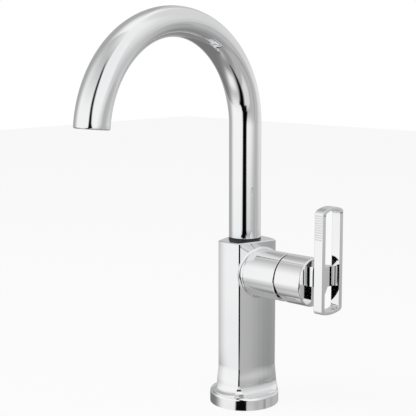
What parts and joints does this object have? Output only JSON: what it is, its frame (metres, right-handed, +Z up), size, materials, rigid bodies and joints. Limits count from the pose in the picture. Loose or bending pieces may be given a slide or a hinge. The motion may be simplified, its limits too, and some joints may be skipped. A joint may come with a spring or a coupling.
{
  "type": "single lever bar faucet",
  "caption": "Chrome deck-mounted bar faucet with a round flange, a keystone-shaped column, a swivelling gooseneck spout and a side hub with an open loop handle.",
  "frame": {"origin": "centre of the flange's underside, on the axis of the spout's riser and of the shank", "axes": "+Z up along the riser; the spout reaches towards -Y; the handle's hub lies along +X"},
  "size_m": [0.1236, 0.2144, 0.4022],
  "materials": {
    "chrome": "polished chrome plate",
    "brass": "machined brass",
    "copper": "plain copper tube",
    "steel": "plain stainless steel",
    "rubber": "black rubber",
    "white_plastic": "moulded plastic",
    "grey_plastic": "moulded plastic",
    "ceramic": "polished ceramic"
  },
  "bodies": {
    "base": {"column_body": "chrome", "deck_seal": "rubber", "mounting_shank": "brass", "rubber_washer": "rubber", "steel_washer": "steel", "mounting_nut": "brass", "inlet_block": "brass", "hot_supply_tube": "copper", "cold_supply_tube": "copper", "foot_ring": "rubber", "spout_keeper_screw": "steel", "cartridge_sleeve": "chrome", "cartridge_base": "white_plastic", "fixed_disc": "ceramic", "cartridge_housing": "white_plastic", "ring_nut": "brass"},
    "spout": {"gooseneck_tube": "chrome", "spout_tail": "brass", "lower_o_ring": "rubber", "upper_o_ring": "rubber", "aerator_housing": "chrome", "aerator_insert": "grey_plastic", "aerator_seal": "rubber"},
    "cartridge_rotor": {"rotor": "grey_plastic", "pivot_pin": "steel"},
    "lever": {"lever_stem": "steel", "handle_hub": "chrome", "handle_set_screw": "steel", "cross_bar": "chrome", "loop_handle": "chrome"},
    "valve_slider": {"disc_carrier": "grey_plastic", "moving_disc": "ceramic"}
  },
  "joints": [
    {"name": "spout_swivel", "type": "hinge", "parent": "base", "child": "spout", "pos_m": [0, 0, 0.1465], "axis": [0, 0, 1], "continuous": true},
    {"name": "temperature_turn", "type": "hinge", "parent": "base", "child": "cartridge_rotor", "pos_m": [0.041, 0, 0.1174], "axis": [1, 0, 0], "range_deg": [-45, 45]},
    {"name": "flow_tilt", "type": "hinge", "parent": "cartridge_rotor", "child": "lever", "pos_m": [0.041, 0, 0.1174], "axis": [0, 1, 0], "range_deg": [0, 14]},
    {"name": "slider_travel", "type": "slide", "parent": "cartridge_rotor", "child": "valve_slider", "axis": [0, 0, 1], "range_m": [0, 0.0027]}
  ],
  "couplings": [
    {"joint": "slider_travel", "follows": "flow_tilt", "m_per_rad": 0.011}
  ]
}
